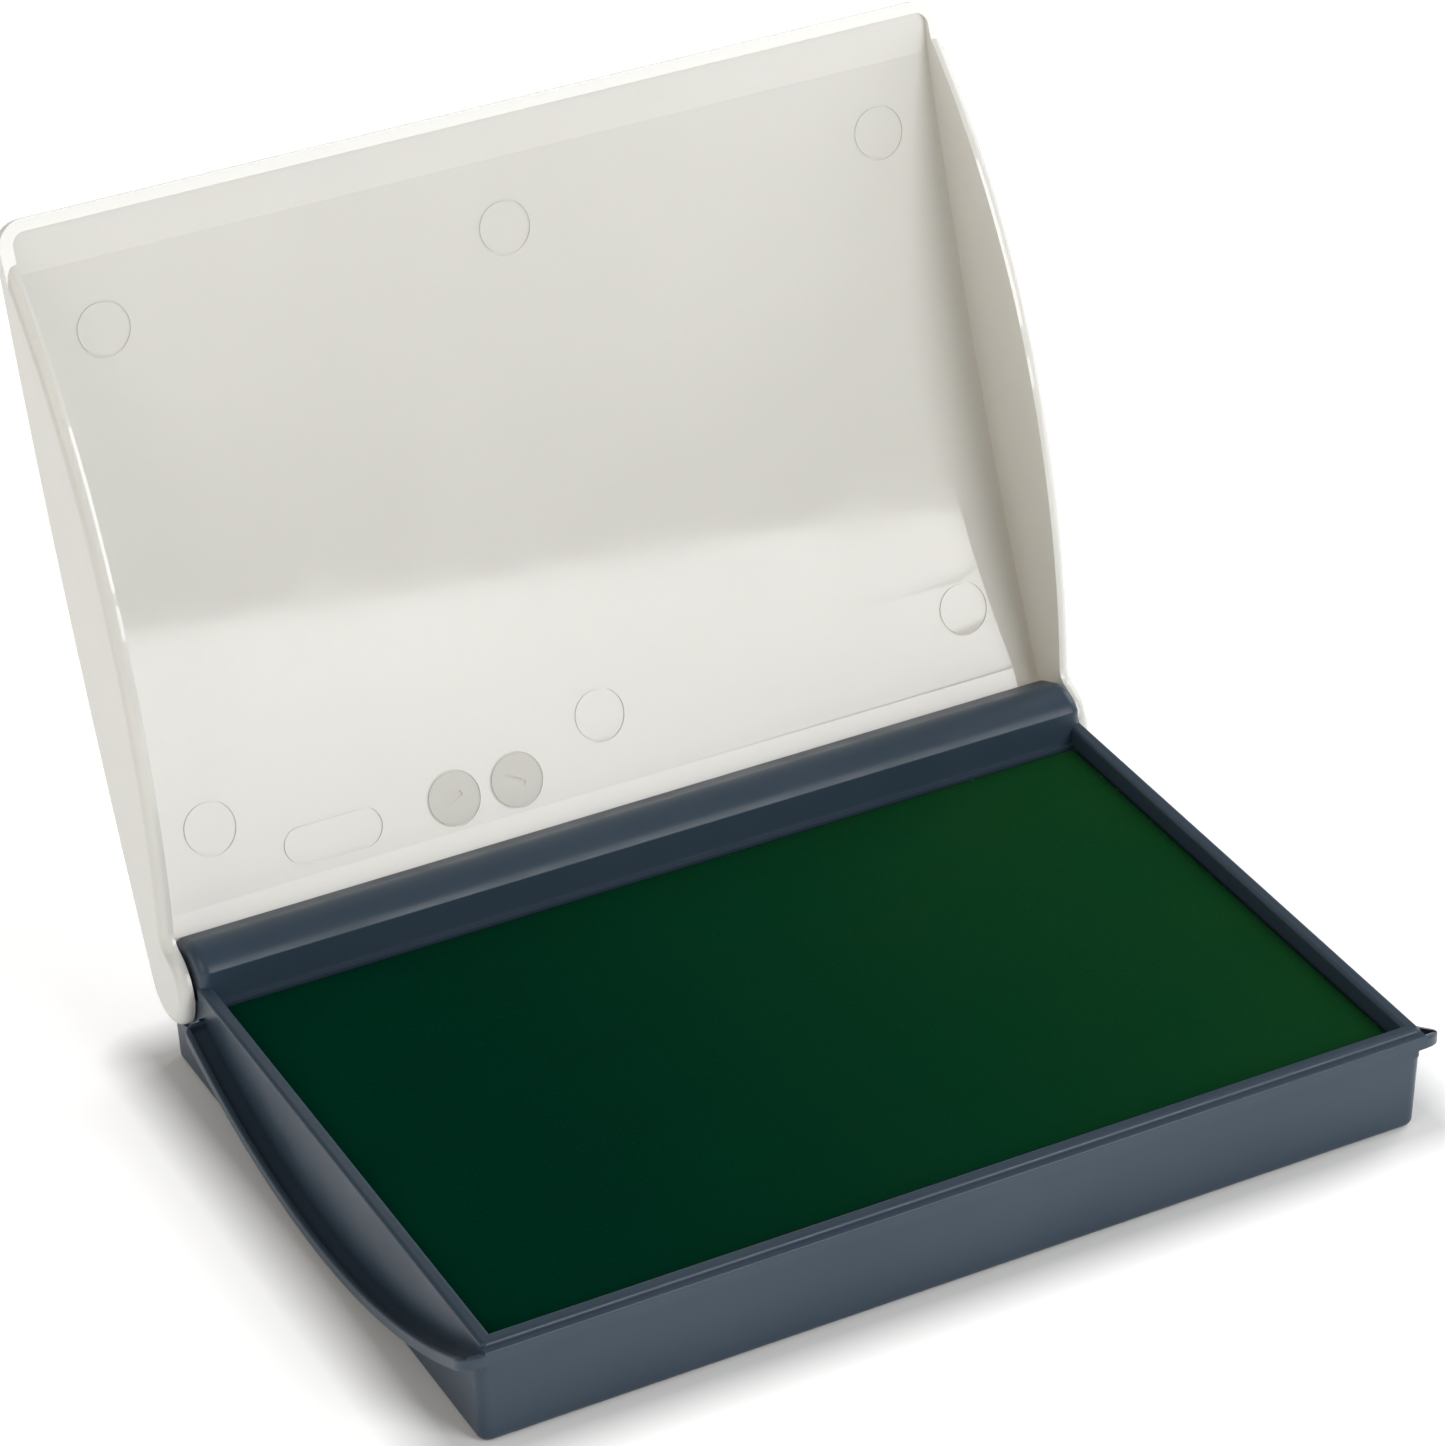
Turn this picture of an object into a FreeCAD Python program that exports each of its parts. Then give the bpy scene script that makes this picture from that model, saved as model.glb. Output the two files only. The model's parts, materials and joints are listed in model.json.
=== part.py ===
"""Stamp ink pad: a moulded tray with a wrapped felt pad, and a hinged lens-shaped lid.

Millimetres, +Z up, front towards -Y. The origin is the middle of the tray's underside.
The lid is shaped in its closed position and then turned open about the hinge axis.
"""

import math
import os

import FreeCAD
import Part

Vector = FreeCAD.Vector

# Pad opening in the tray
OPENING_WIDTH = 112.0
OPENING_DEPTH = 70.7
OPENING_FRONT = -39.4
OPENING_REAR = OPENING_FRONT + OPENING_DEPTH
RECESS_FLOOR = 3.1

# Tray body
RIM_TOP = 13.6
WALL = 1.7
BODY_TOP = 11.6
RIM_HALF_WIDTH = OPENING_WIDTH / 2 + WALL
SKIRT_HALF_WIDTH = 58.3
BODY_FRONT = -40.8
BODY_REAR = 40.8
BODY_DRAFT = 0.35
CORNER_RADIUS = 1.4
FOOT_RECESS = 1.6
FOOT_WALL = 1.8
EDGE_RADIUS = 0.3
RIM_RADIUS = 0.6
RIM_INNER_RADIUS = 0.5

# Front ledge and curved side flanges
LEDGE_OVERHANG = 0.9
LEDGE_TOP = 13.15
LEDGE_BOTTOM = 11.55
LENS_Y = -3.0
FLANGE_HALF_WIDTH = 60.3
FLANGE_THICKNESS = 1.5
FLANGE_REAR = 31.8
FLANGE_LOW_Z = 3.1
FLANGE_FRONT_RADIUS = 80.7
FLANGE_REAR_RADIUS = 88.8
FLANGE_CORNER_RADIUS = 2.5
GROOVE_DEPTH = 0.7
GROOVE_LIP = 0.6

# Hinge
HINGE_Y = 39.1
HINGE_Z = 14.2
BARREL_Y = 35.6
BARREL_Z = 13.35
BARREL_RADIUS = 4.05
BOSS_RADIUS = 1.95
BEAM_EDGE_Y = 32.2
BEAM_HALF_WIDTH = 57.5
BEAM_END_RADIUS = 1.3
BEAM_EDGE_RADIUS = 0.35
CHANNEL_TOP = 11.0
CHANNEL_HALF_WIDTH = 52.5
CHANNEL_RIBS = (-28.0, 0.0, 28.0)
RIB_THICKNESS = 1.2
STUB_RADIUS = 1.2
STUB_CLEARANCE = 0.05
STUB_END = 54.6
SOCKET_END = 54.3
STUB_CHAMFER = 0.3

# Lid
LID_OPEN_ANGLE = 112.8
LID_INNER_HALF_WIDTH = 57.95
LID_WALL = 1.6
LID_HALF_WIDTH = LID_INNER_HALF_WIDTH + LID_WALL
LID_FRONT = -46.2
LID_FRONT_WALL = 1.4
LID_FRONT_EDGE_Z = 13.45
LID_REAR = 40.0
LID_LOW_Z = 4.8
LID_FRONT_RADIUS = 89.5
LID_REAR_RADIUS = 110.0
TAIL_SWEEP_RADIUS = 8.3
SKIN_RADIUS = 515.0
SKIN_CREST_Y = 19.6
SKIN_CREST_Z = 18.5
SKIN_THICKNESS = 1.5
BAND_REAR = -40.0
STRIP_FRONT = 35.4
STRIP_RADIUS = 9.4
LOBE_Y = 41.9
LOBE_RADIUS = 5.0
LID_CORNER_RADIUS = 3.2
LID_EDGE_RADIUS = 1.2
NOTCH_RADIUS = 2.0

# Moulding marks inside the lid
MARK_DEPTH = 0.14
MARK_LINE = 0.3
EJECTOR_RADIUS = 3.3
EJECTOR_X = (-49.1, 0.7, 49.9)
EJECTOR_Y = (-31.9, 26.8)
INSERT_RADIUS = 3.4
INSERT_BAR = 2.4
INSERT_X_TILT = ((-19.3, 65.0), (-11.2, 120.0))
INSERT_Y = 31.5
SLOT_X = -34.8
SLOT_Y = 31.7
SLOT_LENGTH = 12.6
SLOT_WIDTH = 4.8

# Wrapped pad
PAD_GAP = 0.3
PAD_TOP = 11.7
COVER_THICKNESS = 0.5
CARRIER_THICKNESS = 1.5
HEM_WIDTH = 7.0
PAD_CORNER_RADIUS = 0.8


def box(x0, x1, y0, y1, z0, z1):
    return Part.makeBox(x1 - x0, y1 - y0, z1 - z0, Vector(x0, y0, z0))


def rounded_wire(half_x, y0, y1, z, radius):
    """A horizontal rectangle with round corners, as one closed wire."""
    x0, x1 = -half_x, half_x
    centres = ((x1 - radius, y1 - radius, 0), (x0 + radius, y1 - radius, 90),
               (x0 + radius, y0 + radius, 180), (x1 - radius, y0 + radius, 270))
    arcs = []
    for cx, cy, start in centres:
        circle = Part.Circle(Vector(cx, cy, z), Vector(0, 0, 1), radius)
        arcs.append(Part.Arc(circle, math.radians(start), math.radians(start + 90)).toShape())
    edges = []
    for arc, following in zip(arcs, arcs[1:] + arcs[:1]):
        edges.append(arc)
        edges.append(Part.makeLine(arc.Vertexes[-1].Point, following.Vertexes[0].Point))
    return Part.Wire(edges)


def prism(edges, x0, x1):
    """A closed outline in the YZ plane, extruded from x0 to x1."""
    face = Part.Face(Part.Wire(edges))
    face.translate(Vector(x0, 0, 0))
    return face.extrude(Vector(x1 - x0, 0, 0))


def side_prism(edges, half_x):
    return prism(edges, -half_x, half_x)


def on_circle(y, z, radius, degrees):
    angle = math.radians(degrees)
    return Vector(0, y + radius * math.cos(angle), z + radius * math.sin(angle))


def arc_edge(y, z, radius, start, end):
    middle = on_circle(y, z, radius, (start + end) / 2)
    return Part.Arc(on_circle(y, z, radius, start), middle, on_circle(y, z, radius, end)).toShape()


def line_edges(points):
    return [Part.makeLine(a, b) for a, b in zip(points, points[1:])]


def cylinder_x(y, z, radius, x0, x1):
    return Part.makeCylinder(radius, x1 - x0, Vector(x0, y, z), Vector(1, 0, 0))


def lens_point(y, low_z, radius):
    """The place at y on a circle whose lowest point is at (LENS_Y, low_z)."""
    return Vector(0, y, low_z + radius - math.sqrt(radius**2 - (y - LENS_Y) ** 2))


def lens_edges(y0, y1, low_z, front_radius, rear_radius):
    """Two arcs from y0 to y1 that meet level at the lowest point of the lens curve."""
    edges = []
    for start, end, radius in ((y0, LENS_Y, front_radius), (LENS_Y, y1, rear_radius)):
        angles = [math.degrees(math.asin((y - LENS_Y) / radius)) - 90 for y in (start, end)]
        edges.append(arc_edge(LENS_Y, low_z + radius, radius, *angles))
    return edges


def edges_where(shape, test):
    """Edges whose vertices and middle point all pass the test."""
    chosen = []
    for edge in shape.Edges:
        middle = edge.valueAt((edge.FirstParameter + edge.LastParameter) / 2)
        if all(test(p) for p in [v.Point for v in edge.Vertexes] + [middle]):
            chosen.append(edge)
    return chosen


def near(a, b, tolerance=0.02):
    return abs(a - b) < tolerance


# --- Tray -----------------------------------------------------------------------------


def above_flange(side, depth, tip, y0, y1):
    """Space beside the rim, down to a level that lies this deep below a flange's top."""
    x0, x1 = sorted((side * RIM_HALF_WIDTH, side * tip))
    low_z = FLANGE_LOW_Z - depth
    radii = [radius + depth for radius in (FLANGE_FRONT_RADIUS, FLANGE_REAR_RADIUS)]
    front, rear = lens_point(y0, low_z, radii[0]), lens_point(y1, low_z, radii[1])
    sides = line_edges([rear, Vector(0, y1, RIM_TOP), Vector(0, y0, RIM_TOP), front])
    return prism(lens_edges(y0, y1, low_z, *radii) + sides, x0, x1)


def flange_groove(side):
    """Shallow channel in a flange, between the tray wall and the flange's raised lip."""
    return above_flange(side, GROOVE_DEPTH, FLANGE_HALF_WIDTH - GROOVE_LIP,
                        OPENING_FRONT - WALL, FLANGE_REAR - GROOVE_LIP)


def lid_travel(side):
    """Space beside the rim that the lid's side wall needs in its swing."""
    x0, x1 = sorted((side * RIM_HALF_WIDTH, side * FLANGE_HALF_WIDTH))
    return cylinder_x(HINGE_Y, HINGE_Z, TAIL_SWEEP_RADIUS, x0, x1)


def tray_body():
    bottom = rounded_wire(SKIRT_HALF_WIDTH - BODY_DRAFT, BODY_FRONT + BODY_DRAFT,
                          BODY_REAR - BODY_DRAFT, 0.0, CORNER_RADIUS)
    top = rounded_wire(SKIRT_HALF_WIDTH, BODY_FRONT, BODY_REAR, BODY_TOP, CORNER_RADIUS)
    body = Part.makeLoft([bottom, top], True, True)
    foot = edges_where(body, lambda p: near(p.z, 0.0))
    body = body.makeFillet(3 * EDGE_RADIUS, foot)
    cutters = []
    for side in (-1, 1):
        cutters.append(above_flange(side, GROOVE_DEPTH, FLANGE_HALF_WIDTH, BODY_FRONT - 1, FLANGE_REAR))
        cutters.append(lid_travel(side))
    return body.cut(cutters)


def rim_frame():
    front = OPENING_FRONT - WALL
    root = BODY_TOP - WALL
    wire = rounded_wire(RIM_HALF_WIDTH, front, BARREL_Y, root, RIM_RADIUS)
    frame = Part.Face(wire).extrude(Vector(0, 0, RIM_TOP - root))
    frame = frame.makeFillet(RIM_RADIUS * 0.9, edges_where(frame, lambda p: near(p.z, RIM_TOP)))
    rear = box(-RIM_HALF_WIDTH, RIM_HALF_WIDTH, OPENING_REAR + WALL, BARREL_Y + 1, root, RIM_TOP)
    half = OPENING_WIDTH / 2
    opening = box(-half, half, OPENING_FRONT, OPENING_REAR + WALL, root, RIM_TOP)
    frame = frame.cut([rear, opening])
    inner = edges_where(frame, lambda p: near(p.z, RIM_TOP) and near(abs(p.x), half))
    inner += edges_where(frame, lambda p: near(p.z, RIM_TOP) and near(p.y, OPENING_FRONT))
    return frame.makeFillet(RIM_INNER_RADIUS, inner)


def front_ledge():
    """Narrow step in front of the rim, as wide as the body."""
    front = OPENING_FRONT - WALL - LEDGE_OVERHANG
    block = box(-RIM_HALF_WIDTH, RIM_HALF_WIDTH, front, OPENING_FRONT - WALL / 2, LEDGE_BOTTOM, LEDGE_TOP)
    lip = edges_where(block, lambda p: near(p.y, front) and near(p.z, LEDGE_TOP))
    return block.makeFillet(EDGE_RADIUS, lip)


def side_flanges():
    """Ledges that dip below the curved free edge of the closed lid."""
    front = OPENING_FRONT - WALL - LEDGE_OVERHANG
    low_z = FLANGE_LOW_Z - FLANGE_THICKNESS
    front_radius = FLANGE_FRONT_RADIUS + FLANGE_THICKNESS
    rear_radius = FLANGE_REAR_RADIUS + FLANGE_THICKNESS
    top = lens_edges(front, FLANGE_REAR, FLANGE_LOW_Z, FLANGE_FRONT_RADIUS, FLANGE_REAR_RADIUS)
    bottom = lens_edges(front, FLANGE_REAR, low_z, front_radius, rear_radius)
    rear_end = Part.makeLine(lens_point(FLANGE_REAR, FLANGE_LOW_Z, FLANGE_REAR_RADIUS),
                             lens_point(FLANGE_REAR, low_z, rear_radius))
    front_end = Part.makeLine(lens_point(front, low_z, front_radius),
                              lens_point(front, FLANGE_LOW_Z, FLANGE_FRONT_RADIUS))
    flanges = []
    for side in (-1, 1):
        tip = side * FLANGE_HALF_WIDTH
        x0, x1 = sorted((side * (RIM_HALF_WIDTH - WALL / 2), tip))
        band = prism(top + [rear_end] + bottom[::-1] + [front_end], x0, x1)
        front_corner = edges_where(band, lambda p: near(p.x, tip) and near(p.y, front))
        band = band.makeFillet(FLANGE_CORNER_RADIUS, front_corner)
        rear_corner = edges_where(band, lambda p: near(p.x, tip) and near(p.y, FLANGE_REAR))
        band = band.makeFillet(4 * EDGE_RADIUS, rear_corner)
        lip = edges_where(band, lambda p: near(p.x, tip))
        band = band.makeFillet(EDGE_RADIUS, lip)
        flanges.append(band.cut(flange_groove(side)))
    return flanges


def hinge_beam():
    """Barrel-topped beam behind the pad, with the hinge bosses in its rear corner."""
    offset = math.hypot(HINGE_Y - BARREL_Y, HINGE_Z - BARREL_Z)
    lean = math.degrees(math.atan2(HINGE_Z - BARREL_Z, HINGE_Y - BARREL_Y))
    tangent = lean + 90 - math.degrees(math.asin((BARREL_RADIUS - BOSS_RADIUS) / offset))
    edge_angle = 180 - math.degrees(math.acos((BARREL_Y - BEAM_EDGE_Y) / BARREL_RADIUS))
    barrel = arc_edge(BARREL_Y, BARREL_Z, BARREL_RADIUS, edge_angle, tangent)
    boss = arc_edge(HINGE_Y, HINGE_Z, BOSS_RADIUS, tangent, 0)
    front_top = on_circle(BARREL_Y, BARREL_Z, BARREL_RADIUS, edge_angle)
    slope = Part.makeLine(on_circle(BARREL_Y, BARREL_Z, BARREL_RADIUS, tangent),
                          on_circle(HINGE_Y, HINGE_Z, BOSS_RADIUS, tangent))
    rest = line_edges([on_circle(HINGE_Y, HINGE_Z, BOSS_RADIUS, 0), Vector(0, BODY_REAR, BODY_TOP),
                       Vector(0, BODY_REAR - 1, RECESS_FLOOR), Vector(0, OPENING_REAR, RECESS_FLOOR),
                       front_top])
    beam = side_prism([barrel, slope, boss] + rest, BEAM_HALF_WIDTH)
    front_edge = edges_where(beam, lambda p: near(p.y, front_top.y) and near(p.z, front_top.z))
    beam = beam.makeFillet(BEAM_EDGE_RADIUS, front_edge)
    ends = edges_where(beam, lambda p: near(abs(p.x), BEAM_HALF_WIDTH) and p.z > HINGE_Z - 0.1)
    ends = [edge for edge in ends if not near(edge.Vertexes[0].Z, RECESS_FLOOR)]
    return beam.makeFillet(BEAM_END_RADIUS, ends)


def hinge_channel():
    """Hollow under the beam, open below, divided by ribs."""
    hollow = box(-CHANNEL_HALF_WIDTH, CHANNEL_HALF_WIDTH, OPENING_REAR + WALL, BODY_REAR - WALL,
                 0.0, CHANNEL_TOP)
    for x in CHANNEL_RIBS:
        hollow = hollow.cut(box(x - RIB_THICKNESS / 2, x + RIB_THICKNESS / 2, OPENING_REAR, BODY_REAR,
                                FOOT_RECESS, CHANNEL_TOP))
    return hollow


def base_tray():
    tray = tray_body().fuse([rim_frame(), front_ledge(), hinge_beam()] + side_flanges()).removeSplitter()
    half = OPENING_WIDTH / 2
    recess = box(-half, half, OPENING_FRONT, OPENING_REAR, RECESS_FLOOR, 2 * RIM_TOP)
    foot = box(-half, half, BODY_FRONT + FOOT_WALL, BODY_REAR - FOOT_WALL, 0.0, FOOT_RECESS)
    sockets = [cylinder_x(HINGE_Y, HINGE_Z, STUB_RADIUS + STUB_CLEARANCE, SOCKET_END, RIM_HALF_WIDTH),
               cylinder_x(HINGE_Y, HINGE_Z, STUB_RADIUS + STUB_CLEARANCE, -RIM_HALF_WIDTH, -SOCKET_END)]
    tray = tray.cut([recess.cut(hinge_beam()), foot, hinge_channel()] + sockets)
    return tray


# --- Wrapped pad ----------------------------------------------------------------------


def pad_cover():
    half = OPENING_WIDTH / 2 - PAD_GAP
    front = OPENING_FRONT + PAD_GAP
    rear = OPENING_REAR - PAD_GAP
    outer = box(-half, half, front, rear, RECESS_FLOOR, PAD_TOP)
    upright = edges_where(outer, lambda p: near(abs(p.x), half) and (near(p.y, front) or near(p.y, rear)))
    outer = outer.makeFillet(PAD_CORNER_RADIUS, upright)
    inner = box(-half + COVER_THICKNESS, half - COVER_THICKNESS, front + COVER_THICKNESS,
                rear - COVER_THICKNESS, RECESS_FLOOR + COVER_THICKNESS, PAD_TOP - COVER_THICKNESS)
    window = box(-half + HEM_WIDTH, half - HEM_WIDTH, front + HEM_WIDTH, rear - HEM_WIDTH,
                 RECESS_FLOOR, RECESS_FLOOR + COVER_THICKNESS)
    return outer.cut([inner, window])


def pad_layer(z0, z1):
    half = OPENING_WIDTH / 2 - PAD_GAP - COVER_THICKNESS
    inset = PAD_GAP + COVER_THICKNESS
    return box(-half, half, OPENING_FRONT + inset, OPENING_REAR - inset, z0, z1)


def pad_carrier():
    bottom = RECESS_FLOOR + COVER_THICKNESS
    return pad_layer(bottom, bottom + CARRIER_THICKNESS)


def pad_felt():
    bottom = RECESS_FLOOR + COVER_THICKNESS + CARRIER_THICKNESS
    return pad_layer(bottom, PAD_TOP - COVER_THICKNESS)


# --- Lid ------------------------------------------------------------------------------


def skin_z(y, radius):
    """Height of the closed lid's skin at y, for its inner or outer radius."""
    crest = SKIN_CREST_Z - SKIN_RADIUS
    return crest + math.sqrt(radius**2 - (y - SKIN_CREST_Y) ** 2)


def skin_arc(y0, y1, radius):
    middle = (y0 + y1) / 2
    points = [Vector(0, y, skin_z(y, radius)) for y in (y0, middle, y1)]
    return Part.Arc(*points).toShape()


def lobe_centre():
    """Tail circle of the side walls, touching the outer skin curve from inside."""
    reach = SKIN_RADIUS + SKIN_THICKNESS - LOBE_RADIUS
    crest = SKIN_CREST_Z - SKIN_RADIUS
    return LOBE_Y, crest + math.sqrt(reach**2 - (LOBE_Y - SKIN_CREST_Y) ** 2)


def lobe_meets_lens():
    """Crossing of the tail circle with the lens curve, as an angle on the tail circle."""
    lobe_y, lobe_z = lobe_centre()
    lens_z = LID_LOW_Z + LID_REAR_RADIUS
    apart = math.hypot(lobe_y - LENS_Y, lobe_z - lens_z)
    lean = math.degrees(math.atan2(lobe_z - lens_z, lobe_y - LENS_Y))
    at_lobe = math.acos((LOBE_RADIUS**2 + apart**2 - LID_REAR_RADIUS**2) / (2 * LOBE_RADIUS * apart))
    return lean + 180 + math.degrees(at_lobe)


def lid_outer():
    """Lens-shaped side outline with a round tail: crowned skin above, free edge below."""
    outer_radius = SKIN_RADIUS + SKIN_THICKNESS
    lobe_y, lobe_z = lobe_centre()
    lobe_start = math.degrees(math.atan2(lobe_z - SKIN_CREST_Z + SKIN_RADIUS, lobe_y - SKIN_CREST_Y))
    lobe_end = lobe_meets_lens()
    tail = on_circle(lobe_y, lobe_z, LOBE_RADIUS, lobe_start)
    notch = on_circle(lobe_y, lobe_z, LOBE_RADIUS, lobe_end)
    drop = LID_LOW_Z + LID_FRONT_RADIUS - LID_FRONT_EDGE_Z
    lens_front = LENS_Y - math.sqrt(LID_FRONT_RADIUS**2 - drop**2)
    front_bottom = Vector(0, LID_FRONT, LID_FRONT_EDGE_Z)
    front_top = Vector(0, LID_FRONT, skin_z(LID_FRONT, outer_radius))
    edges = [skin_arc(LID_FRONT, tail.y, outer_radius),
             arc_edge(lobe_y, lobe_z, LOBE_RADIUS, lobe_start, lobe_end - 360)]
    edges += lens_edges(lens_front, notch.y, LID_LOW_Z, LID_FRONT_RADIUS, LID_REAR_RADIUS)[::-1]
    edges += line_edges([Vector(0, lens_front, LID_FRONT_EDGE_Z), front_bottom, front_top])
    block = side_prism(edges, LID_HALF_WIDTH)
    corners = edges_where(block, lambda p: near(p.y, LID_FRONT) and near(abs(p.x), LID_HALF_WIDTH))
    block = block.makeFillet(LID_CORNER_RADIUS, corners)
    inside = edges_where(block, lambda p: near(p.y, notch.y) and near(p.z, notch.z))
    block = block.makeFillet(NOTCH_RADIUS, inside)
    # The crown runs on round the tail and along the free edge, and is rounded as one
    crown = edges_where(block, lambda p: near(p.z, skin_z(p.y, outer_radius)) and p.y < tail.y + 0.01)
    return block.makeFillet(LID_EDGE_RADIUS, crown)


def lid_cavity():
    """Space inside the lid, with the sloped band behind its front edge."""
    front = LID_FRONT + LID_FRONT_WALL
    floor = 0.0
    band_front_z = LID_FRONT_EDGE_Z + EDGE_RADIUS
    lean = math.asin((STRIP_FRONT - SKIN_CREST_Y) / SKIN_RADIUS)
    strip_y = SKIN_CREST_Y + (SKIN_RADIUS - STRIP_RADIUS) * math.sin(lean)
    strip_z = SKIN_CREST_Z - SKIN_RADIUS + (SKIN_RADIUS - STRIP_RADIUS) * math.cos(lean)
    strip_end = math.acos((LID_REAR - strip_y) / STRIP_RADIUS)
    strip = arc_edge(strip_y, strip_z, STRIP_RADIUS, 90 - math.degrees(lean), math.degrees(strip_end))
    points = [strip.Vertexes[-1].Point,
              Vector(0, LID_REAR, 2 * SKIN_CREST_Z), Vector(0, 2 * LID_REAR, 2 * SKIN_CREST_Z),
              Vector(0, 2 * LID_REAR, floor), Vector(0, front, floor), Vector(0, front, band_front_z),
              Vector(0, BAND_REAR, skin_z(BAND_REAR, SKIN_RADIUS))]
    edges = [skin_arc(BAND_REAR, STRIP_FRONT, SKIN_RADIUS), strip] + line_edges(points)
    cavity = side_prism(edges, LID_INNER_HALF_WIDTH)
    corners = edges_where(cavity, lambda p: near(p.y, front) and near(abs(p.x), LID_INNER_HALF_WIDTH))
    return cavity.makeFillet(LID_CORNER_RADIUS - LID_WALL, corners)


def hinge_stubs():
    stubs = []
    for side in (-1, 1):
        x0, x1 = sorted((side * STUB_END, side * (LID_INNER_HALF_WIDTH + LID_WALL / 2)))
        stub = cylinder_x(HINGE_Y, HINGE_Z, STUB_RADIUS, x0, x1)
        tip = edges_where(stub, lambda p: near(p.x, side * STUB_END))
        stubs.append(stub.makeChamfer(STUB_CHAMFER, tip))
    return stubs


def ring(radius):
    height = 2 * MARK_DEPTH
    return Part.makeCylinder(radius, height).cut(Part.makeCylinder(radius - MARK_LINE, height))


def insert_mark(tilt):
    """Round insert joint with a short plain bar across it."""
    bar = Part.makeBox(2 * MARK_LINE, INSERT_BAR, 2 * MARK_DEPTH, Vector(-MARK_LINE, -INSERT_BAR / 2, 0))
    bar.rotate(Vector(0, 0, 0), Vector(0, 0, 1), tilt)
    return ring(INSERT_RADIUS).fuse(bar)


def slot_mark():
    def obround(width, length):
        straight = length - width
        ends = [Part.makeCylinder(width / 2, 2 * MARK_DEPTH, Vector(x, 0, 0))
                for x in (-straight / 2, straight / 2)]
        middle = Part.makeBox(straight, width, 2 * MARK_DEPTH, Vector(-straight / 2, -width / 2, 0))
        return middle.fuse(ends)
    inner = obround(SLOT_WIDTH - 2 * MARK_LINE, SLOT_LENGTH - 2 * MARK_LINE)
    return obround(SLOT_WIDTH, SLOT_LENGTH).cut(inner)


def place_mark(mark, x, y):
    """Sink a mark into the inner skin, square to its surface at (x, y)."""
    slope = math.degrees(math.asin((y - SKIN_CREST_Y) / SKIN_RADIUS))
    mark = mark.copy()
    mark.translate(Vector(0, 0, -MARK_DEPTH))
    mark.rotate(Vector(0, 0, 0), Vector(1, 0, 0), -slope)
    mark.translate(Vector(x, y, skin_z(y, SKIN_RADIUS)))
    return mark


def moulding_marks():
    marks = [place_mark(ring(EJECTOR_RADIUS), x, y) for x in EJECTOR_X for y in EJECTOR_Y]
    marks += [place_mark(insert_mark(tilt), x, INSERT_Y) for x, tilt in INSERT_X_TILT]
    return marks + [place_mark(slot_mark(), SLOT_X, SLOT_Y)]


def lid_shell():
    shell = lid_outer().cut(lid_cavity()).fuse(hinge_stubs()).cut(moulding_marks())
    shell.rotate(Vector(0, HINGE_Y, HINGE_Z), Vector(1, 0, 0), -LID_OPEN_ANGLE)
    return shell


PARTS = {
    "base_tray": base_tray,
    "pad_carrier_plate": pad_carrier,
    "pad_felt_core": pad_felt,
    "pad_cloth_cover": pad_cover,
    "lid_shell": lid_shell,
}

os.makedirs("parts", exist_ok=True)
for name, make in PARTS.items():
    shape = make()
    solids = shape.Solids
    if len(solids) == 1:
        shape = solids[0]
    print(name, "solids", len(solids), "valid", shape.isValid(), "volume", round(shape.Volume, 1))
    shape.exportStep(os.path.join("parts", name + ".step"))
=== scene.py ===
import json
import math

import bmesh
import bpy
from mathutils import Matrix, Quaternion, Vector, noise


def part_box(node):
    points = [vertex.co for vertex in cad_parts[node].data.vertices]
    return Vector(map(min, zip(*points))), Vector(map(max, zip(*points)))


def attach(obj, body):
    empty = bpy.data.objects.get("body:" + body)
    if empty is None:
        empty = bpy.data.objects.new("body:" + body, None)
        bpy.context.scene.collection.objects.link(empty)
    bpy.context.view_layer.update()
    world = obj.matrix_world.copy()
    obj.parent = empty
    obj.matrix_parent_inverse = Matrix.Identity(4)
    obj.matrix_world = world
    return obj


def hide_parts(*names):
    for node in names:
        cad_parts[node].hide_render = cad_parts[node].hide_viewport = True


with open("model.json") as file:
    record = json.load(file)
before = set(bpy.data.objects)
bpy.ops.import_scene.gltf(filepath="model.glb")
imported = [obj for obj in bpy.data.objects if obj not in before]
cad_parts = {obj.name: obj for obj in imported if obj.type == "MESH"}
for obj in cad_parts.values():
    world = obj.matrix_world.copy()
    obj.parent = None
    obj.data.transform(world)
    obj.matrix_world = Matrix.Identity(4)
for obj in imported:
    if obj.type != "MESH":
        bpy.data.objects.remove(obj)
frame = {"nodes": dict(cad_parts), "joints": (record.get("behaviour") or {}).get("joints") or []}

MM = 0.001

# ------------------------------------------------------------------------------------
# Sizes and places
# ------------------------------------------------------------------------------------

CLOTH_THICKNESS = 0.42 * MM
CLOTH_HEM = 6.9 * MM
CLOTH_EDGE_RADIUS = 0.7 * MM
CLOTH_PITCH = 0.32 * MM
CLOTH_CROWN = 0.12 * MM
CLOTH_CROWN_RISE = 3
CLOTH_RIPPLE = 0.03 * MM
CLOTH_RIPPLES_PER_METRE = 55
CLOTH_RIPPLE_OFFSET = 0.6
CLOTH_STEP = 1.0 * MM
HEM_LEVEL = 0.05 * MM
FELT_EDGE_RADIUS = 0.45 * MM
FELT_FUZZ = 0.05 * MM
FELT_FUZZ_PER_METRE = 900
EDGE_STEPS = 4

LID_OPEN_ANGLE = math.radians(112.8)
MARK_RADIUS = 3.4 * MM
MARK_SOFTNESS = 0.1 * MM
INSERT_MARKS = ((-19.3, 31.5), (-11.2, 31.5))

CAMERA_TARGET = Vector((-5.2, 4.1, 48.3)) * MM
CAMERA_DISTANCE = 620 * MM
CAMERA_AZIMUTH = math.radians(-26.925)
CAMERA_ELEVATION = math.radians(31.946)
CAMERA_ROLL = math.radians(-1.41)
CAMERA_LENS = 141.5
CAMERA_CLIP = (0.01, 20.0)

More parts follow.
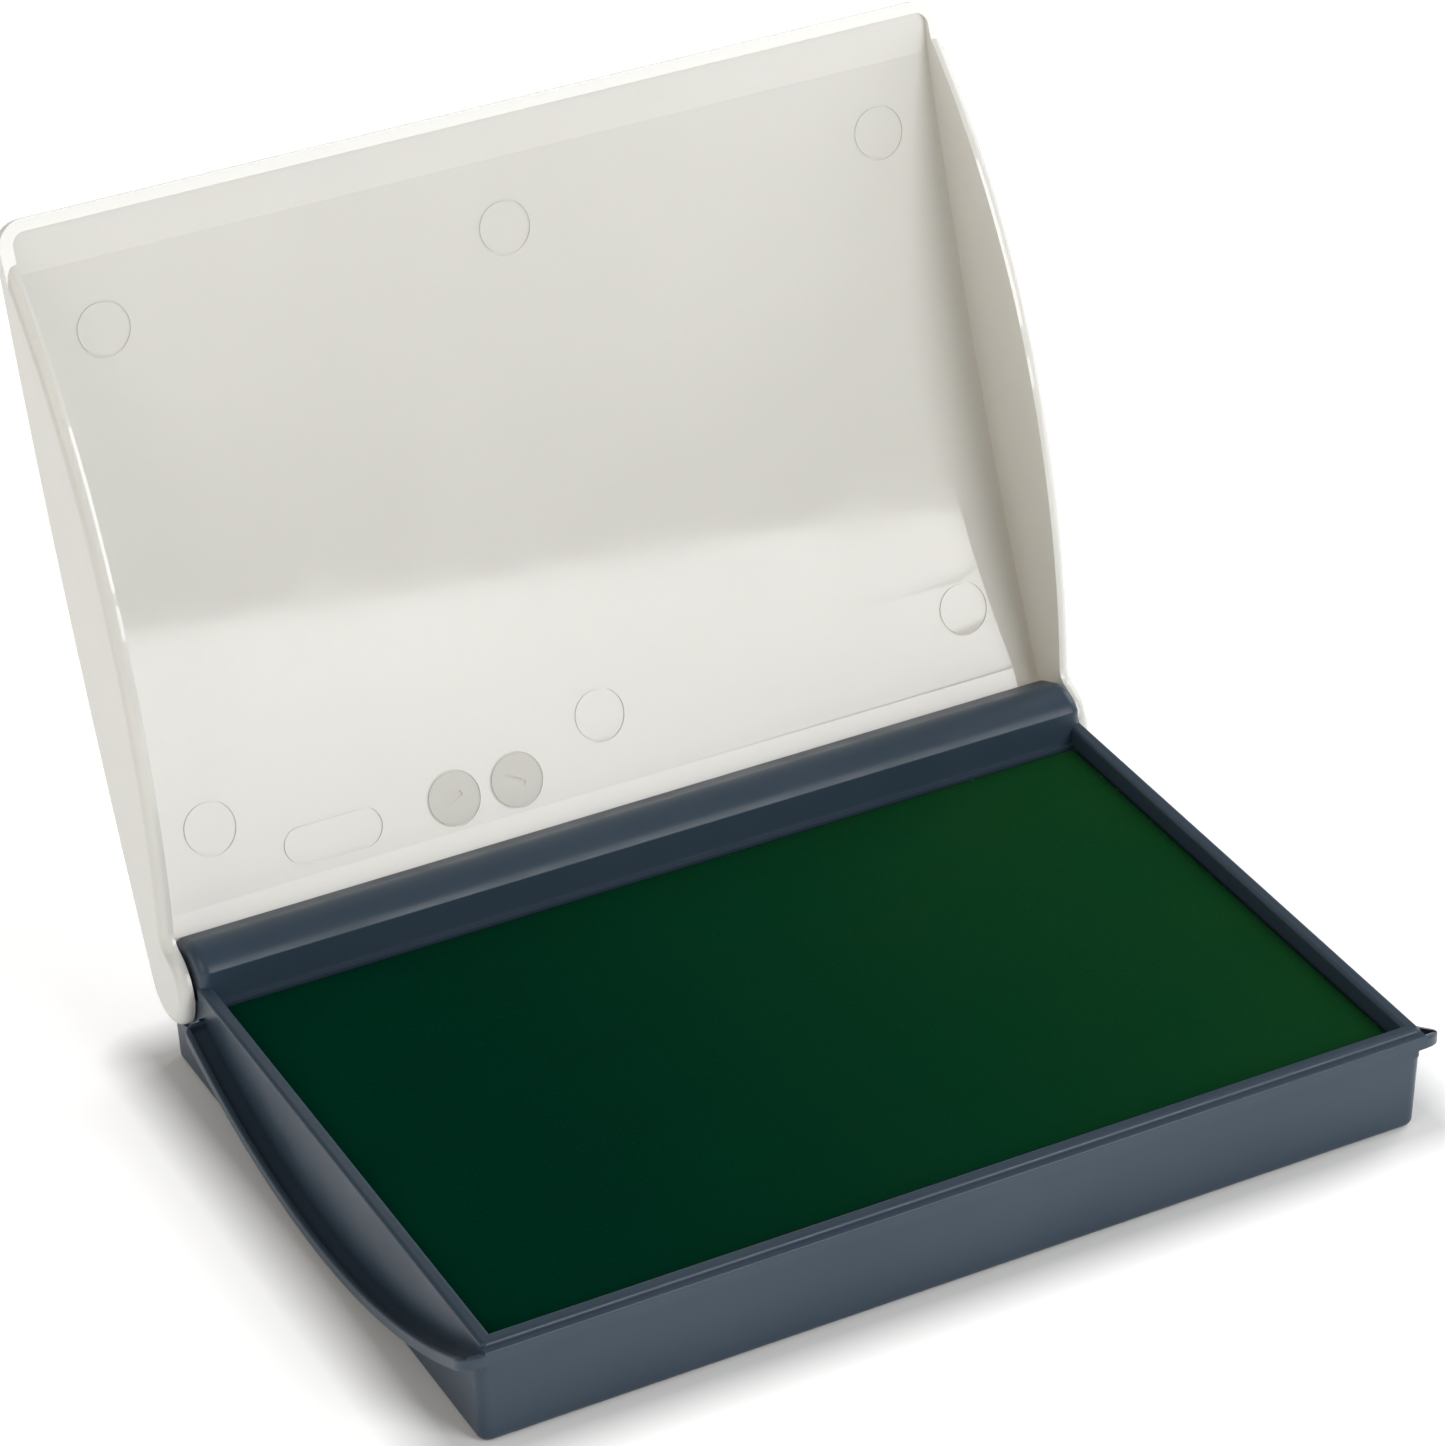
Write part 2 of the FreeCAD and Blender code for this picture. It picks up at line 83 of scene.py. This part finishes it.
FLOOR_REACH = 6.0
# Reach of the painted contact shadow: the floor's glow fades to nothing over this distance from
# the tray
PAINTED_SHADOW_REACH = 7 * MM
GLOW_STRENGTH = 0.50
WORLD_STRENGTH = 0.24
CARD_X, CARD_Y = 0.25, -0.5
CARD_BOTTOM = 0.142
CARD_WIDTH = 0.32
CARD_HEIGHT = 0.042
CARD_RADIANCE = 5.2
CARD_ROLL = 0.018
# Name, centre in metres, side in metres, radiance and tint
SQUARE_BOXES = (
    ("left_box", (-1.0, -0.25, 0.75), 0.9, 1.4, (1.0, 0.93, 0.82)),
    ("right_box", (1.0, 0.2, 0.65), 0.8, 3.0, (1.0, 1.0, 1.0)),
    ("high_box", (0.42, -0.85, 0.60), 0.5, 6.2, (1.0, 1.0, 1.0)),
)

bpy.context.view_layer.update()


# ------------------------------------------------------------------------------------
# Colours
# ------------------------------------------------------------------------------------


def rgb(red, green, blue):
    return (red, green, blue, 1.0)


WHITE = rgb(1.0, 1.0, 1.0)
TRAY_DARK, TRAY_LIGHT = rgb(0.033, 0.055, 0.083), rgb(0.038, 0.061, 0.090)
LID_DARK, LID_LIGHT = rgb(0.735, 0.733, 0.700), rgb(0.755, 0.753, 0.720)
LID_MARK = rgb(0.78, 0.775, 0.73)
# The cloth's right-hand colour is a painted sheen: the cloth is lighter towards the right
CLOTH_LEFT, CLOTH_RIGHT_PAINTED_SHEEN = rgb(0.0, 0.0212, 0.0135), rgb(0.0098, 0.060, 0.0142)
CLOTH_SOAK = rgb(0.0, 0.042, 0.0158)
CLOTH_THREAD = rgb(0.0, 0.065, 0.0270)
LINT = rgb(0.35, 0.36, 0.30)
FELT_DARK, FELT_LIGHT = rgb(0.002, 0.03, 0.012), rgb(0.006, 0.06, 0.022)
FELT_FIBRE = rgb(0.02, 0.10, 0.04)
CARRIER_DARK, CARRIER_LIGHT = rgb(0.50, 0.51, 0.49), rgb(0.60, 0.61, 0.58)
PAPER_DARK, PAPER_LIGHT = rgb(0.93, 0.93, 0.93), rgb(0.95, 0.95, 0.95)


# ------------------------------------------------------------------------------------
# Shader helpers
# ------------------------------------------------------------------------------------


class Graph:
    """A material's node tree, filled one node at a time."""

    def __init__(self, name):
        self.material = bpy.data.materials.new(name)
        self.material.use_nodes = True
        self.tree = self.material.node_tree
        self.tree.nodes.clear()
        self.output = self.tree.nodes.new("ShaderNodeOutputMaterial")

    def node(self, kind, settings=None, **inputs):
        made = self.tree.nodes.new("ShaderNode" + kind)
        for key, value in (settings or {}).items():
            setattr(made, key, value)
        for key, value in inputs.items():
            self.feed(made.inputs[self.socket_index(made, key)], value)
        return made

    @staticmethod
    def socket_index(node, key):
        """Sockets are given by name, with _ for a space, or by number as _0, _1."""
        if key[1:].isdigit():
            return int(key[1:])
        wanted = key.replace("_", " ").lower()
        return [socket.name.lower() for socket in node.inputs].index(wanted)

    def feed(self, socket, value):
        if isinstance(value, bpy.types.NodeSocket):
            self.tree.links.new(value, socket)
        else:
            socket.default_value = value

    def math(self, operation, a, b=0.0, clamp=False):
        settings = {"operation": operation, "use_clamp": clamp}
        return self.node("Math", settings, _0=a, _1=b).outputs[0]

    def position(self):
        """Place on the piece itself, in metres, so that a pattern moves with it."""
        return self.node("TexCoord").outputs["Object"]

    def noise(self, vector, scale, detail=2.0, roughness=0.5):
        made = self.node("TexNoise", None, Vector=vector, Scale=scale, Detail=detail,
                         Roughness=roughness)
        return made.outputs["Fac"]

    def span(self, value, low, high, new_low, new_high):
        """A value between low and high, moved to between new_low and new_high."""
        made = self.node("MapRange", None, Value=value, From_Min=low, From_Max=high,
                         To_Min=new_low, To_Max=new_high)
        return made.outputs["Result"]

    def blend(self, share, first, second):
        made = self.node("Mix", {"data_type": "RGBA"}, _0=share, _6=first, _7=second)
        return made.outputs[2]

    def bump(self, height, distance, normal=None):
        made = self.node("Bump", None, Height=height, Distance=distance, Strength=1.0)
        if normal is not None:
            self.feed(made.inputs["Normal"], normal)
        return made.outputs["Normal"]

    def principled(self, **inputs):
        shader = self.node("BsdfPrincipled", None, **inputs)
        self.tree.links.new(shader.outputs[0], self.output.inputs["Surface"])
        return self.material


# ------------------------------------------------------------------------------------
# Materials
# ------------------------------------------------------------------------------------


def tray_plastic():
    """Dark blue-grey moulded plastic: satin, with faint flow marks and fine grain."""
    g = Graph("tray_plastic")
    place = g.position()
    cloud = g.noise(place, 45.0, 3.0)
    grain = g.noise(place, 2600.0, 2.0)
    colour = g.blend(g.span(cloud, 0.35, 0.65, 0.0, 1.0), TRAY_DARK, TRAY_LIGHT)
    rough = g.span(g.noise(place, 160.0, 3.0), 0.3, 0.7, 0.30, 0.40)
    normal = g.bump(grain, 0.004 * MM)
    normal = g.bump(cloud, 0.05 * MM, normal=normal)
    return g.principled(Base_Color=colour, Roughness=rough, Specular_IOR_Level=0.35, Normal=normal)


def insert_mask(g, place):
    """1 on the two round insert marks in the lid's inner skin, 0 elsewhere."""
    pivot = Vector(frame["joints"][0]["pos_m"])
    about_x = {"rotation_type": "X_AXIS"}
    closed = g.node("VectorRotate", about_x, Vector=place, Center=pivot, Angle=LID_OPEN_ANGLE)
    axes = g.node("SeparateXYZ", None, Vector=closed.outputs[0])
    mask = 0.0
    for x, y in INSERT_MARKS:
        across = g.math("POWER", g.math("SUBTRACT", axes.outputs[0], x * MM), 2.0)
        along = g.math("POWER", g.math("SUBTRACT", axes.outputs[1], y * MM), 2.0)
        away = g.math("SQRT", g.math("ADD", across, along))
        inside = g.span(away, MARK_RADIUS - MARK_SOFTNESS, MARK_RADIUS, 1.0, 0.0)
        mask = g.math("ADD", mask, inside, clamp=True)
    # The marks are only on the skin that faces down in the shut lid
    normal = g.node("TexCoord").outputs["Normal"]
    facing = g.node("VectorRotate", about_x, Vector=normal, Angle=LID_OPEN_ANGLE)
    down = g.node("SeparateXYZ", None, Vector=facing.outputs[0]).outputs[2]
    return g.math("MULTIPLY", mask, g.span(down, -0.3, 0.3, 1.0, 0.0))


def lid_plastic():
    """Off-white glossy plastic that lets a little light in, with matte insert marks."""
    g = Graph("lid_plastic")
    place = g.position()
    mask = insert_mask(g, place)
    cloud = g.noise(place, 30.0, 3.0)
    colour = g.blend(g.span(cloud, 0.35, 0.65, 0.0, 1.0), LID_DARK, LID_LIGHT)
    colour = g.blend(g.math("MULTIPLY", mask, 0.6), colour, LID_MARK)
    rough = g.span(g.noise(place, 90.0, 3.0), 0.3, 0.7, 0.015, 0.03)
    rough = g.span(mask, 0.0, 1.0, rough, 0.5)
    ripple = g.noise(place, 28.0, 1.0)
    fine = g.noise(place, 420.0, 2.0)
    normal = g.bump(ripple, 0.006 * MM)
    normal = g.bump(fine, 0.0004 * MM, normal=normal)
    return g.principled(Base_Color=colour, Roughness=rough, IOR=1.5, Subsurface_Weight=0.2,
                        Subsurface_Radius=(1.0, 0.7, 0.45), Subsurface_Scale=4 * MM, Normal=normal)


def pad_cloth_material(low, high):
    """Inked green cloth: fine plain weave, blotchy soak, a painted sheen that lightens it towards
    the right, and pale lint by two walls.
    """
    g = Graph("inked_cloth")
    place = g.position()
    axes = g.node("SeparateXYZ", None, Vector=place)
    scale = 2 * math.pi / (20 * CLOTH_PITCH)
    warp, weft = (g.node("TexWave", {"bands_direction": direction}, Vector=place, Scale=scale,
                         Distortion=0.6, Detail=1.0, Detail_Scale=0.4).outputs["Fac"]
                  for direction in "XY")
    weave = g.math("MULTIPLY", warp, weft)
    soak = g.noise(place, 38.0, 4.0, 0.6)
    # Painted sheen: the cloth grows lighter from left to right
    side = g.math("POWER", g.span(axes.outputs[0], low.x, high.x, 0.0, 1.0), 1.6)
    colour = g.blend(side, CLOTH_LEFT, CLOTH_RIGHT_PAINTED_SHEEN)
    colour = g.blend(g.span(soak, 0.3, 0.7, 0.0, 0.35), colour, CLOTH_SOAK)
    colour = g.blend(g.math("MULTIPLY", weave, 0.3), colour, CLOTH_THREAD)

    to_side = g.math("SUBTRACT", high.x, axes.outputs[0])
    to_rear = g.math("SUBTRACT", high.y, axes.outputs[1])
    to_edge = g.math("MINIMUM", to_side, to_rear)
    near_edge = g.span(to_edge, 0.25 * MM, 0.7 * MM, 1.0, 0.0)
    flecks = g.span(g.noise(place, 2300.0, 2.0), 0.66, 0.72, 0.0, 1.0)
    patches = g.span(g.noise(place, 160.0, 1.0), 0.5, 0.6, 0.0, 1.0)
    lint = g.math("MULTIPLY", g.math("MULTIPLY", near_edge, flecks), patches)
    colour = g.blend(lint, colour, LINT)

    normal = g.bump(weave, 0.02 * MM)
    normal = g.bump(soak, 0.06 * MM, normal=normal)
    rough = g.span(soak, 0.3, 0.7, 0.7, 0.8)
    return g.principled(Base_Color=colour, Roughness=rough, Specular_IOR_Level=0.0, Normal=normal)


def felt_material():
    """Green ink-soaked felt: matted fibres, darker where the ink sits deep."""
    g = Graph("inked_felt")
    place = g.position()
    fibres = g.noise(place, 1500.0, 4.0, 0.7)
    soak = g.noise(place, 60.0, 3.0)
    colour = g.blend(soak, FELT_DARK, FELT_LIGHT)
    colour = g.blend(g.math("MULTIPLY", fibres, 0.4), colour, FELT_FIBRE)
    return g.principled(Base_Color=colour, Roughness=0.9, Normal=g.bump(fibres, 0.08 * MM))


def carrier_material():
    """Plain pale moulded plate with brushed-looking flow lines."""
    g = Graph("carrier_plastic")
    place = g.position()
    flow = g.noise(place, 70.0, 4.0)
    colour = g.blend(flow, CARRIER_DARK, CARRIER_LIGHT)
    rough = g.span(flow, 0.3, 0.7, 0.45, 0.6)
    return g.principled(Base_Color=colour, Roughness=rough, Normal=g.bump(flow, 0.02 * MM))


def floor_material(low, high):
    """White paper with a glow of its own that fades under and close round the tray, a painted
    contact shadow.
    """
    g = Graph("studio_floor")
    place = g.position()
    axes = g.node("SeparateXYZ", None, Vector=place)
    middle, half = (low + high) / 2, (high - low) / 2
    squares = []
    for axis in (0, 1):
        off_centre = g.math("ABSOLUTE", g.math("SUBTRACT", axes.outputs[axis], middle[axis]))
        beyond = g.math("MAXIMUM", g.math("SUBTRACT", off_centre, half[axis]), 0.0)
        squares.append(g.math("POWER", beyond, 2.0))
    away = g.math("SQRT", g.math("ADD", *squares))
    # Painted contact shadow: the floor's glow falls to nothing under and close round the tray
    glow = g.span(away, 0.0, PAINTED_SHADOW_REACH, 0.0, GLOW_STRENGTH)
    colour = g.blend(g.noise(place, 8.0, 3.0), PAPER_DARK, PAPER_LIGHT)
    return g.principled(Base_Color=colour, Roughness=0.9, Specular_IOR_Level=0.0,
                        Emission_Color=WHITE, Emission_Strength=glow)


# ------------------------------------------------------------------------------------
# Pieces
# ------------------------------------------------------------------------------------


def spread(low, high, step, radius):
    """Grid stations from low to high: even in the middle, closer over the round edges."""
    edge = [radius * (1 - math.cos(math.pi / 2 * i / EDGE_STEPS)) for i in range(EDGE_STEPS + 1)]
    inner_low, inner_high = low + radius, high - radius
    count = max(2, round((inner_high - inner_low) / step))
    middle = [inner_low + (inner_high - inner_low) * i / count for i in range(1, count)]
    return [low + e for e in edge] + middle + [high - e for e in reversed(edge)]


def rounded_block(name, low, high, radius, step, keep=None):
    """A closed block of quads whose edges and corners are rounded to radius.

    keep(centre) can leave out faces, such as the window in a hem."""
    stations = [spread(low[i], high[i], step, radius) for i in range(3)]
    core_low = [low[i] + radius for i in range(3)]
    core_high = [high[i] - radius for i in range(3)]
    bm = bmesh.new()
    made = {}

    def vertex(*index):
        if index not in made:
            flat = Vector([stations[i][index[i]] for i in range(3)])
            core = Vector([min(max(flat[i], core_low[i]), core_high[i]) for i in range(3)])
            out = flat - core
            made[index] = bm.verts.new(core + out.normalized() * radius)
        return made[index]

    sizes = [len(s) for s in stations]
    for axis in range(3):
        a, b = (axis + 1) % 3, (axis + 2) % 3
        for end in (0, sizes[axis] - 1):
            for i in range(sizes[a] - 1):
                for j in range(sizes[b] - 1):
                    corners = []
                    for di, dj in ((0, 0), (1, 0), (1, 1), (0, 1)):
                        index = [0, 0, 0]
                        index[axis], index[a], index[b] = end, i + di, j + dj
                        corners.append(vertex(*index))
                    centre = sum((v.co for v in corners), Vector()) / 4
                    if keep is None or keep(centre):
                        bm.faces.new(corners if end else corners[::-1])
    for vert in [v for v in bm.verts if not v.link_faces]:
        bm.verts.remove(vert)
    mesh = bpy.data.meshes.new(name)
    bm.to_mesh(mesh)
    bm.free()
    mesh.polygons.foreach_set("use_smooth", [True] * len(mesh.polygons))
    piece = bpy.data.objects.new(name, mesh)
    bpy.context.scene.collection.objects.link(piece)
    return piece


def pad_cloth(low, high):
    """The cloth drawn over the felt and hemmed under the carrier, open below."""
    window_low = low + Vector((CLOTH_HEM, CLOTH_HEM, 0))
    window_high = high - Vector((CLOTH_HEM, CLOTH_HEM, 0))

    def keep(centre):
        below = centre.z < low.z + HEM_LEVEL
        within = all(window_low[i] < centre[i] < window_high[i] for i in (0, 1))
        return not (below and within)

    piece = rounded_block("pad_cloth", low, high, CLOTH_EDGE_RADIUS, CLOTH_STEP, keep)
    middle, half = (low + high) / 2, (high - low) / 2
    for vert in piece.data.vertices:
        across = 1 - ((vert.co.x - middle.x) / half.x) ** 2
        along = 1 - ((vert.co.y - middle.y) / half.y) ** 2
        if vert.co.z > high.z - CLOTH_EDGE_RADIUS:
            inward = min(across, along)
            sink = CLOTH_CROWN * (1 - min(1.0, CLOTH_CROWN_RISE * inward))
            wave = noise.noise(vert.co * CLOTH_RIPPLES_PER_METRE) - CLOTH_RIPPLE_OFFSET
            vert.co.z += CLOTH_RIPPLE * wave * inward - sink
    shell = piece.modifiers.new("thickness", "SOLIDIFY")
    shell.thickness = CLOTH_THICKNESS
    shell.offset = -1.0
    piece.data.materials.append(pad_cloth_material(low, high))
    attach(piece, "base")
    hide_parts("pad_cloth_cover")


def pad_felt(low, high):
    """The felt block, slightly fuzzy on every face."""
    piece = rounded_block("pad_felt", low, high, FELT_EDGE_RADIUS, 2 * CLOTH_STEP)
    for vert in piece.data.vertices:
        share = 0.5 + 0.5 * noise.noise(vert.co * FELT_FUZZ_PER_METRE)
        vert.co -= vert.normal * FELT_FUZZ * share
    piece.data.materials.append(felt_material())
    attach(piece, "base")
    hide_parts("pad_felt_core")


def paint(node, material):
    """Gives a CAD node its material, in every slot it has."""
    mesh = frame["nodes"][node].data
    mesh.materials.clear()
    mesh.materials.append(material)


# ------------------------------------------------------------------------------------
# Studio
# ------------------------------------------------------------------------------------


def floor():
    """A wide level sheet of white paper, which isn't part of the object."""
    mesh = bpy.data.meshes.new("floor")
    turns = ((-1, -1), (1, -1), (1, 1), (-1, 1))
    corners = [(x * FLOOR_REACH, y * FLOOR_REACH, 0) for x, y in turns]
    mesh.from_pydata(corners, [], [(0, 1, 2, 3)])
    piece = bpy.data.objects.new("floor", mesh)
    bpy.context.scene.collection.objects.link(piece)
    mesh.materials.append(floor_material(*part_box("base_tray")))


def soft_box(name, centre, aim, width, height, radiance, tint, roll=0.0):
    """A rectangular light of an even radiance that shows in gloss but not to the camera."""
    light = bpy.data.lights.new(name, "AREA")
    light.shape = "RECTANGLE"
    light.size, light.size_y = width, height
    light.energy = radiance * math.pi * width * height
    light.color = tint
    lamp = bpy.data.objects.new(name, light)
    bpy.context.scene.collection.objects.link(lamp)
    lamp.location = centre
    lamp.rotation_mode = "QUATERNION"
    facing = (Vector(aim) - Vector(centre)).to_track_quat("-Z", "Y")
    lamp.rotation_quaternion = facing @ Quaternion((0.0, 0.0, 1.0), roll)
    lamp.visible_camera = False


def lights():
    """An even white surround, one narrow card in front and three square boxes."""
    world = bpy.data.worlds.new("studio")
    bpy.context.scene.world = world
    world.use_nodes = True
    background = world.node_tree.nodes["Background"]
    background.inputs["Color"].default_value = WHITE
    background.inputs["Strength"].default_value = WORLD_STRENGTH
    # Upright strip in front, whose lower edge shows as the step in the lid's gloss
    middle = CARD_BOTTOM + CARD_HEIGHT / 2
    soft_box("front_card", (CARD_X, CARD_Y, middle), (CARD_X, 0.0, middle), CARD_WIDTH,
             CARD_HEIGHT, CARD_RADIANCE, WHITE[:3], CARD_ROLL)
    for name, centre, side, radiance, tint in SQUARE_BOXES:
        soft_box(name, centre, (0.0, 0.0, 0.0), side, side, radiance, tint)


def camera():
    """The photographer's place, on a ball round the target, with a slight roll."""
    data = bpy.data.cameras.new("camera")
    data.lens = CAMERA_LENS
    data.clip_start, data.clip_end = CAMERA_CLIP
    piece = bpy.data.objects.new("camera", data)
    bpy.context.scene.collection.objects.link(piece)
    level = math.cos(CAMERA_ELEVATION)
    back = Vector((math.sin(CAMERA_AZIMUTH) * level, -math.cos(CAMERA_AZIMUTH) * level,
                   math.sin(CAMERA_ELEVATION)))
    turn = (-back).to_track_quat("-Z", "Y").to_matrix() @ Matrix.Rotation(CAMERA_ROLL, 3, "Z")
    place = Matrix.Translation(CAMERA_TARGET + back * CAMERA_DISTANCE)
    piece.matrix_world = place @ turn.to_4x4()
    bpy.context.scene.camera = piece


# ------------------------------------------------------------------------------------
# The model and its studio
# ------------------------------------------------------------------------------------

paint("base_tray", tray_plastic())
paint("lid_shell", lid_plastic())
paint("pad_carrier_plate", carrier_material())
pad_felt(*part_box("pad_felt_core"))
pad_cloth(*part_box("pad_cloth_cover"))

bpy.context.scene.view_settings.view_transform = "Standard"
floor()
lights()
camera()
